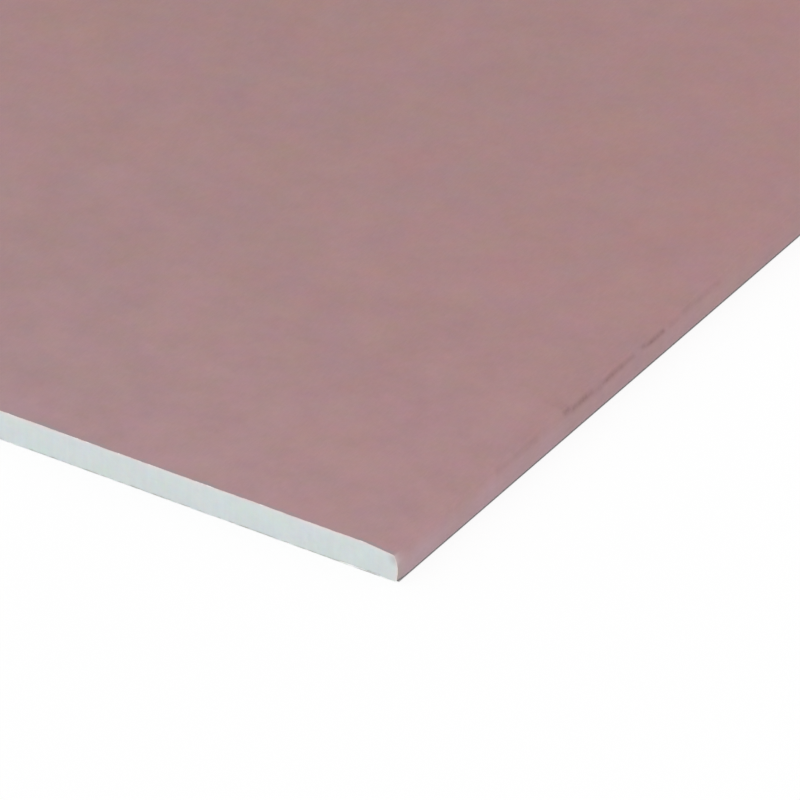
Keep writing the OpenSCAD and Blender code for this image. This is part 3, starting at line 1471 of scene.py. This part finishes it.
@dataclass
class BackPaper:
    """The liner over the back, which leaves a strip of the fold bare on each side."""

    sheet: Sheet
    finish: BackPaperFinish
    cut_finish: CutPaperFinish
    row_spacing: float = 12 * MM
    side_wave: float = 0.15 * MM
    side_wave_spacing: float = 45 * MM

    def surface(self, sketch: MeshSketch, z: float, seed: Seed) -> PaperSurface:
        """Lays one surface of the liner.

        Args:
            sketch: The piece.
            z: Its height, in metres.
            seed: Number that picks its frayed ends.

        Returns:
            Its points along each end, and up each side.
        """
        y = self.sheet.all_rows(self.sheet.even_rows(self.row_spacing))
        sides = []
        for side in Side:
            wave = Wander(Seed.LINER_SIDE + side.value, self.side_wave_spacing, self.sheet.half_length)
            x = side.value * (self.sheet.back_half_width + self.side_wave * wave(y))
            sides.append(sketch.add(np.stack([x, y, np.full(len(y), z)], axis=-1)))
        cuts = FrayedCut.both_ends(seed, self.sheet.half_width)
        return PaperSurface(flat_field(sketch, *sides, cuts), sides)

    def build(self) -> bpy.types.Object:
        """Makes the liner as one closed skin.

        Returns:
            The piece.
        """
        sketch = MeshSketch()
        underside = self.surface(sketch, 0.0, Seed.LINER_UNDERSIDE)
        upper_side = self.surface(sketch, self.sheet.back_paper, Seed.LINER_UPPER_SIDE)
        underside.close(sketch, upper_side)
        return sketch.piece("board_back_paper", [self.finish, self.cut_finish])


@dataclass(frozen=True)
class Studio:
    """A white floor, soft even light and a camera that looks down on the near corner."""

    sheet: Sheet
    sky: float = 0.84
    sun: float = 0.16
    sun_azimuth: float = 45.0
    sun_elevation: float = 60.0
    sun_spread: float = math.radians(40)
    floor_reach: float = 8.0
    floor_drop: float = 0.05 * MM
    open_floor: FloorFinish = FloorFinish("studio floor", WHITE, glow=0.15, shown_glow=0.82)
    # The floor under the sheet is mid grey and never glows: painted shade that darkens the line where the
    # foot meets the floor
    shade_floor: FloorFinish = FloorFinish("painted shade under the sheet", MID_GREY)
    # How far inside the sheet's outline the grey floor of painted shade under it ends
    covered_side_inset: float = 0.2 * MM
    covered_end_inset: float = 0.95 * MM
    camera_azimuth: float = 32.911
    camera_elevation: float = 33.589
    camera_distance: float = 10.0
    # Width of the sensor in millimetres, and the photograph's own pixels
    sensor: float = 36.0
    picture: float = 800.0
    pixels_per_metre: float = 2804.4
    corner_pixel: tuple[float, float] = (398.08, 583.27)

    @staticmethod
    def way(azimuth: float, elevation: float) -> Vector:
        """Gives the way towards a place seen from the sheet.

        Args:
            azimuth: Angle round the sheet from its front end, in degrees.
            elevation: Angle above the floor, in degrees.

        Returns:
            The way, one metre long.
        """
        round_angle, up_angle = math.radians(azimuth), math.radians(elevation)
        level = math.cos(up_angle)
        return Vector((math.sin(round_angle) * level, -math.cos(round_angle) * level, math.sin(up_angle)))

    def floor(self) -> bpy.types.Object:
        """Lays the floor just under the back of the sheet, mid grey as painted shade under the sheet's
        outline.

        Returns:
            The floor.
        """
        sketch = MeshSketch()
        columns = np.array([self.floor_reach, self.sheet.half_width - self.covered_side_inset])
        rows = np.array([self.floor_reach, self.sheet.half_length - self.covered_end_inset])
        x, y = np.meshgrid(np.append(-columns, columns[::-1]), np.append(-rows, rows[::-1]))
        sketch.grid(sketch.add(np.stack([x, y, np.full(x.shape, -self.floor_drop)], axis=-1)))
        finishes = [self.open_floor, self.shade_floor]
        # The middle face, inside the sheet's outline, is the grey floor of painted shade
        middle_face = len(sketch.faces) // 2
        sketch.finishes[middle_face] = finishes.index(self.shade_floor)
        return sketch.piece("studio_floor", finishes, closed=False)

    def light(self) -> None:
        """Hangs a soft sun, and a sky that lights evenly and shows white."""
        lamp = bpy.data.lights.new("soft_sun", "SUN")
        lamp.energy = self.sun * math.pi
        lamp.angle = self.sun_spread
        sun = bpy.data.objects.new("soft_sun", lamp)
        sun.rotation_mode = "QUATERNION"
        sun.rotation_quaternion = self.way(self.sun_azimuth, self.sun_elevation).to_track_quat("Z", "Y")
        bpy.context.scene.collection.objects.link(sun)
        world = bpy.data.worlds.new("studio_sky")
        world.use_nodes = True
        sketch = NodeSketch(world.node_tree)
        lit = sketch.add("ShaderNodeBackground", {"Color": WHITE, "Strength": self.sky}).outputs[0]
        shown = sketch.add("ShaderNodeBackground", {"Color": WHITE, "Strength": 1.0}).outputs[0]
        sketch.add("ShaderNodeOutputWorld", {"Surface": sketch.mix(sketch.seen_ray(), lit, shown)})
        bpy.context.scene.world = world

    def camera(self) -> None:
        """Places the camera so that the near corner falls where the photograph has it."""
        lens = bpy.data.cameras.new("photo_camera")
        lens.sensor_width = self.sensor
        lens.lens = self.pixels_per_metre * self.camera_distance * self.sensor / self.picture
        lens.clip_end = 2 * self.camera_distance + self.floor_reach
        back = self.way(self.camera_azimuth, self.camera_elevation)
        turn = back.to_track_quat("Z", "Y")
        right, up = turn @ Vector((1, 0, 0)), turn @ Vector((0, 1, 0))
        corner = Vector((self.sheet.half_width, -self.sheet.half_length, 0))
        middle = self.picture / 2
        across = (middle - self.corner_pixel[0]) / self.pixels_per_metre
        upward = (self.corner_pixel[1] - middle) / self.pixels_per_metre
        camera = bpy.data.objects.new("photo_camera", lens)
        camera.rotation_mode = "QUATERNION"
        camera.rotation_quaternion = turn
        camera.location = corner + right * across + up * upward + back * self.camera_distance
        bpy.context.scene.collection.objects.link(camera)
        bpy.context.scene.camera = camera

    def build(self) -> None:
        """Sets up the floor, the light, the camera and plain colours."""
        self.floor()
        self.light()
        self.camera()
        bpy.context.scene.view_settings.view_transform = "Standard"


def dress(piece: bpy.types.Object, node: str) -> None:
    """Puts a piece in the place of the solid that it dresses.

    Args:
        piece: The piece.
        node: Name of the solid.
    """
    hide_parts(node)
    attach(piece, "root")
    log.info("%s stands for %s, with %d faces", piece.name, node, len(piece.data.polygons))


def main() -> None:
    """Builds the studio and the three pieces of the sheet."""
    logging.basicConfig(level=logging.INFO, format="%(name)s: %(message)s")
    sheet = Sheet.from_frame()
    edge = LongEdge(sheet)
    Studio(sheet).build()
    corner = BumpedCorner(sheet)
    core = GypsumCore(sheet, edge, corner, GypsumFinish())
    dress(core.build(), "gypsum_core")
    pink = FacePaperFinish(half_length=sheet.half_length, half_width=sheet.half_width)
    # By the floor the cut face paper is paler and colder: partly painted light that lifts the shaded cut of
    # the fold
    pink_cut = CutPaperFinish("cut face paper", base=paint(230, 217, 215), foot=paint(236, 241, 240))
    face = FacePaper(sheet, edge, corner, pink, pink_cut)
    dress(face.build(), "face_paper")
    grey = BackPaperFinish(half_length=sheet.half_length)
    grey_cut = CutPaperFinish("cut back paper", base=paint(223, 230, 230), foot=paint(223, 230, 230))
    back = BackPaper(sheet, grey, grey_cut)
    dress(back.build(), "back_paper")


if __name__ == "__main__":
    main()
